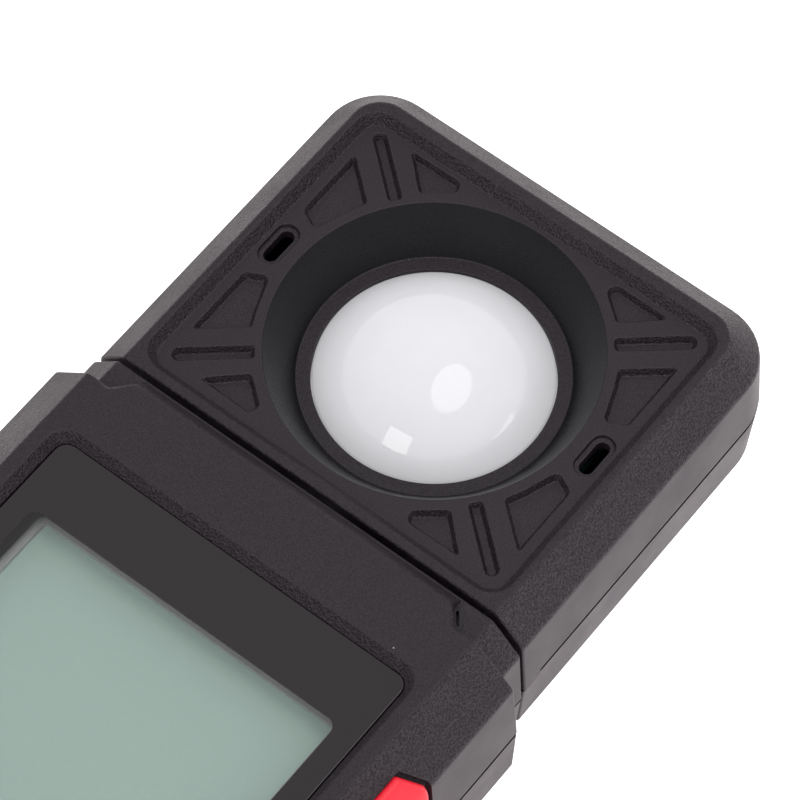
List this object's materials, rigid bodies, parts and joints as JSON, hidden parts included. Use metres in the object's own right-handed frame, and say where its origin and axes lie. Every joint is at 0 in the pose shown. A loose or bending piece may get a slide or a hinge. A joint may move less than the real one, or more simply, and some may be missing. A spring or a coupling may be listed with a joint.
{
  "type": "handheld light meter",
  "caption": "Handheld light meter with a domed diffuser in a swivelling sensor head, a display window, a keypad, side grips and a tripod socket.",
  "frame": {"origin": "centre of the tripod socket's mouth in the back face of the body", "axes": "+Z out of the display face, +Y along the body towards the sensor head, +X to the right seen from the front"},
  "size_m": [0.065, 0.1807, 0.0291],
  "materials": {
    "shell_plastic": "spark-eroded matt charcoal",
    "diffuser_white": "glossy translucent opal",
    "black_rubber": "soft matt",
    "black_plastic": "matt black",
    "filter_glass": "polished green glass",
    "ceramic_package": "fine matt",
    "circuit_board": "satin solder mask",
    "steel_fasteners": "plain zinc",
    "spindle_metal": "fine turned",
    "cable_sheath": "satin",
    "bush_plastic": "natural acetal",
    "clear_window": "polished acrylic",
    "grey_plastic": "satin light grey",
    "display_glass": "grey-green display glass",
    "light_guide": "polished",
    "strip_rubber": "matt",
    "mat_rubber": "matt silicone",
    "red_grip": "satin moulded elastomer",
    "red_key": "satin moulded elastomer",
    "grey_key": "matt moulded elastomer",
    "cell_jacket": "gloss sleeve",
    "brass_insert": "machined"
  },
  "bodies": {
    "housing": {"body_front_shell": "shell_plastic", "body_rear_shell": "shell_plastic", "swivel_bush": "bush_plastic", "display_window": "clear_window", "window_gasket": "black_plastic", "lcd_frame": "grey_plastic", "lcd_panel": "display_glass", "backlight_guide": "light_guide", "lcd_connector_strip": "strip_rubber", "main_board": "circuit_board", "board_chips": "black_plastic", "board_screws": "steel_fasteners", "board_cable": "cable_sheath", "keypad_mat": "mat_rubber", "buzzer": "black_plastic", "side_grip_left": "red_grip", "side_grip_right": "red_grip", "battery_springs": "steel_fasteners", "battery_contacts": "steel_fasteners", "battery_cells": "cell_jacket", "housing_screws": "steel_fasteners", "tripod_insert": "brass_insert"},
    "head": {"head_front_shell": "shell_plastic", "head_rear_shell": "shell_plastic", "diffuser_dome": "diffuser_white", "dome_gasket": "black_rubber", "filter_holder": "black_plastic", "correction_filter": "filter_glass", "photodiode": "ceramic_package", "sensor_board": "circuit_board", "sensor_board_screws": "steel_fasteners", "head_screws": "steel_fasteners", "swivel_spindle": "spindle_metal", "stop_pin": "steel_fasteners", "spring_washer": "steel_fasteners", "spindle_circlip": "steel_fasteners", "sensor_cable": "cable_sheath"},
    "battery_door": {"battery_door": "shell_plastic"},
    "power_button": {"power_button": "red_key"},
    "hold_button": {"hold_button": "grey_key"},
    "unit_button": {"unit_button": "grey_key"},
    "max_min_button": {"max_min_button": "grey_key"},
    "backlight_button": {"backlight_button": "grey_key"}
  },
  "joints": [
    {"name": "head_swivel", "type": "hinge", "parent": "housing", "child": "head", "pos_m": [0, 0.066, 0.014], "axis": [0, 1, 0], "range_deg": [-90, 180]},
    {"name": "battery_door_slide", "type": "slide", "parent": "housing", "child": "battery_door", "axis": [0, -1, 0], "range_m": [0, 0.058]},
    {"name": "power_button_press", "type": "slide", "parent": "housing", "child": "power_button", "axis": [0, 0, -1], "range_m": [0, 0.0008], "stiffness_N_per_m": 1500},
    {"name": "hold_button_press", "type": "slide", "parent": "housing", "child": "hold_button", "axis": [0, 0, -1], "range_m": [0, 0.0008], "stiffness_N_per_m": 1500},
    {"name": "unit_button_press", "type": "slide", "parent": "housing", "child": "unit_button", "axis": [0, 0, -1], "range_m": [0, 0.0008], "stiffness_N_per_m": 1500},
    {"name": "max_min_button_press", "type": "slide", "parent": "housing", "child": "max_min_button", "axis": [0, 0, -1], "range_m": [0, 0.0008], "stiffness_N_per_m": 1500},
    {"name": "backlight_button_press", "type": "slide", "parent": "housing", "child": "backlight_button", "axis": [0, 0, -1], "range_m": [0, 0.0008], "stiffness_N_per_m": 1500}
  ]
}
